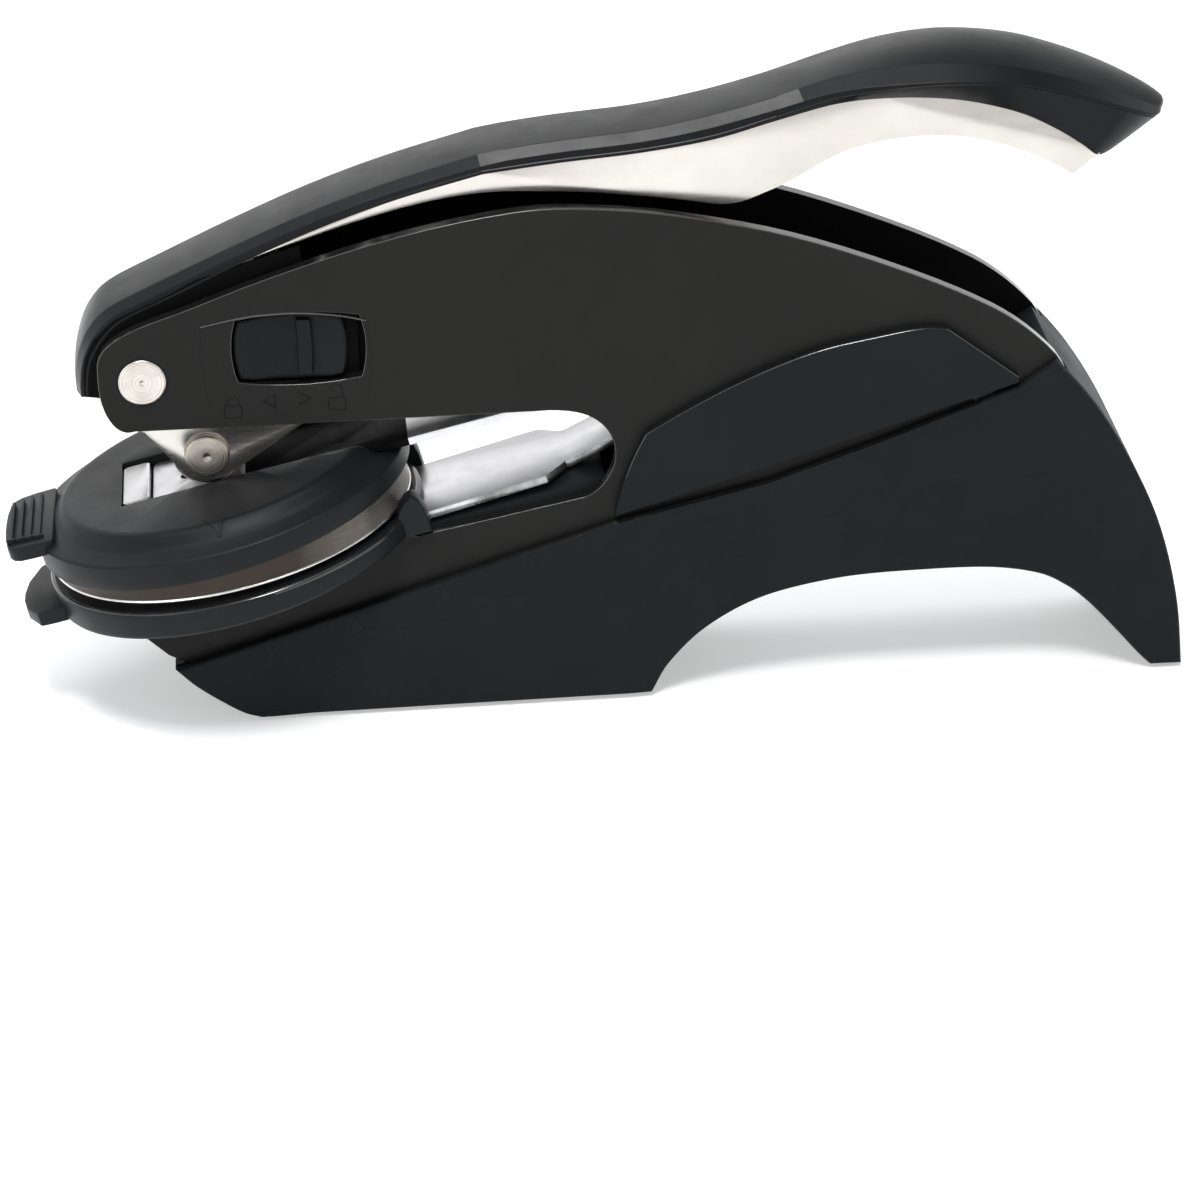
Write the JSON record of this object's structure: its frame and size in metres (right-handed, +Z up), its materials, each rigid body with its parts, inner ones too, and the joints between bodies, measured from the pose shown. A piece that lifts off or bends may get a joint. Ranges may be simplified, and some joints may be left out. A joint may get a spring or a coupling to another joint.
{
  "type": "seal embosser",
  "caption": "Desk seal embosser: black side plates in a moulded base, nickel lever with a covered handle, roller and a draw-out round die insert.",
  "frame": {"origin": "on the standing surface, under the middle of the object's box", "axes": "+X towards the free end of the handle, -X the die end, +Z up, near side (with the lock) at -Y"},
  "size_m": [0.184, 0.06, 0.1015],
  "materials": {
    "plate_paint": "semi-gloss black paint on sheet steel",
    "shoe_plastic": "fine matte moulding",
    "panel_plastic": "satin moulding",
    "cover_plastic": "soft matte moulding",
    "holder_plastic": "fine grain moulding",
    "lever_nickel": "bright nickel plate",
    "leaf_steel": "bright spring steel",
    "pin_steel": "turned steel, faced ends",
    "dark_steel": "oiled steel",
    "drum_metal": "turned, satin",
    "die_brass": "flat, bare",
    "die_plastic": "flat, bare",
    "pad_rubber": "plain rubber"
  },
  "bodies": {
    "frame": {"side_plate_near": "plate_paint", "side_plate_far": "plate_paint", "frame_spacers": "pin_steel", "frame_rivets": "pin_steel", "jaw_block": "plate_paint", "jaw_screws": "dark_steel", "base_shoe": "shoe_plastic", "side_panel_near": "panel_plastic", "side_panel_far": "panel_plastic", "foot_pads": "pad_rubber", "base_screws": "dark_steel", "pivot_pin": "pin_steel", "pivot_washers": "die_plastic", "tail_stop": "pin_steel", "spring_anchor": "pin_steel", "return_spring": "dark_steel"},
    "lever": {"lever_channel": "lever_nickel", "handle_cover": "cover_plastic", "handle_screws": "dark_steel", "roller_pin": "pin_steel"},
    "roller": {"press_roller": "pin_steel"},
    "lock": {"lock_slider": "panel_plastic", "lock_bolt": "dark_steel"},
    "lower_clip": {"lower_holder": "holder_plastic", "counter_die": "die_plastic", "lower_leaf": "leaf_steel", "lower_leaf_rivets": "dark_steel", "tail_rivets": "dark_steel"},
    "upper_clip": {"upper_cap": "holder_plastic", "upper_die_body": "drum_metal", "engraved_die": "die_brass", "upper_leaf": "leaf_steel", "leaf_catch": "leaf_steel", "upper_leaf_screws": "dark_steel"}
  },
  "joints": [
    {"name": "lever_hinge", "type": "hinge", "parent": "frame", "child": "lever", "pos_m": [-0.0687, 0, 0.0571], "axis": [0, 1, 0], "range_deg": [0, 12], "stiffness_Nm_per_rad": 0.35, "springref_deg": -34.38, "deforming": ["return_spring"]},
    {"name": "roller_spin", "type": "hinge", "parent": "lever", "child": "roller", "pos_m": [-0.0597, 0, 0.0429], "axis": [0, 1, 0], "continuous": true},
    {"name": "lock_slide", "type": "slide", "parent": "frame", "child": "lock", "axis": [1, 0, 0], "range_m": [0, 0.0025]},
    {"name": "insert_slide", "type": "slide", "parent": "frame", "child": "lower_clip", "axis": [-0.9736, 0, -0.2284], "range_m": [0, 0.09]},
    {"name": "die_close", "type": "hinge", "parent": "lower_clip", "child": "upper_clip", "pos_m": [0.00629, 0, 0.04973], "axis": [0, -1, 0], "range_deg": [0, 0.75]}
  ],
  "couplings": [
    {"joint": "die_close", "follows": "lever_hinge", "ratio": 0.0625}
  ]
}
